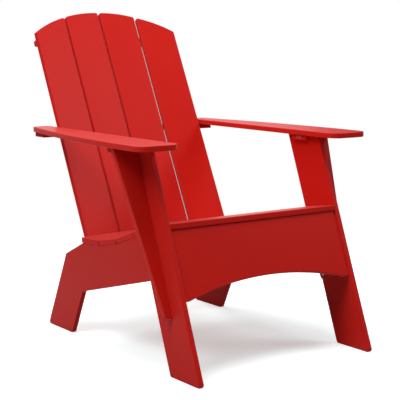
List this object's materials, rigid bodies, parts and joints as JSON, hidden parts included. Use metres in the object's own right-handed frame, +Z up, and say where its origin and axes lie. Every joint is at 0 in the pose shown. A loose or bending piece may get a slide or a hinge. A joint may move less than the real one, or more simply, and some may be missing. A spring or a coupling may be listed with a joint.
{
  "type": "adirondack chair",
  "caption": "Red adirondack chair cut from plastic sheet: hollow slatted back with an arched top, wide arms on tapering brackets, leaning front legs and an arched apron.",
  "frame": {"origin": "on the ground, midway between the two sides and midway between the front toes and the rearmost point of the back", "axes": "+Z up, -Y the way the chair faces, +X to the right of someone looking at it from the front"},
  "size_m": [0.7816, 0.9986, 0.9557],
  "materials": {
    "red_poly": "satin",
    "stainless": "brushed"
  },
  "bodies": {
    "root": {"back_slat_1": "red_poly", "back_slat_2": "red_poly", "back_slat_3": "red_poly", "back_slat_4": "red_poly", "upper_batten": "red_poly", "arm_rail": "red_poly", "lower_rail": "red_poly", "left_arm": "red_poly", "right_arm": "red_poly", "left_front_leg": "red_poly", "right_front_leg": "red_poly", "left_arm_bracket": "red_poly", "right_arm_bracket": "red_poly", "left_inner_cleat": "red_poly", "right_inner_cleat": "red_poly", "left_outer_cleat": "red_poly", "right_outer_cleat": "red_poly", "left_stringer": "red_poly", "right_stringer": "red_poly", "front_apron": "red_poly", "seat_slat_1": "red_poly", "seat_slat_2": "red_poly", "seat_slat_3": "red_poly", "seat_slat_4": "red_poly", "seat_slat_5": "red_poly", "left_seat_cleat": "red_poly", "right_seat_cleat": "red_poly", "left_apron_cleat": "red_poly", "right_apron_cleat": "red_poly", "left_rail_cleat": "red_poly", "right_rail_cleat": "red_poly", "back_screws": "stainless", "seat_screws": "stainless", "arm_screws": "stainless", "bracket_screws": "stainless", "stringer_screws": "stainless", "apron_screws": "stainless", "cleat_screws": "stainless"}
  },
  "joints": []
}
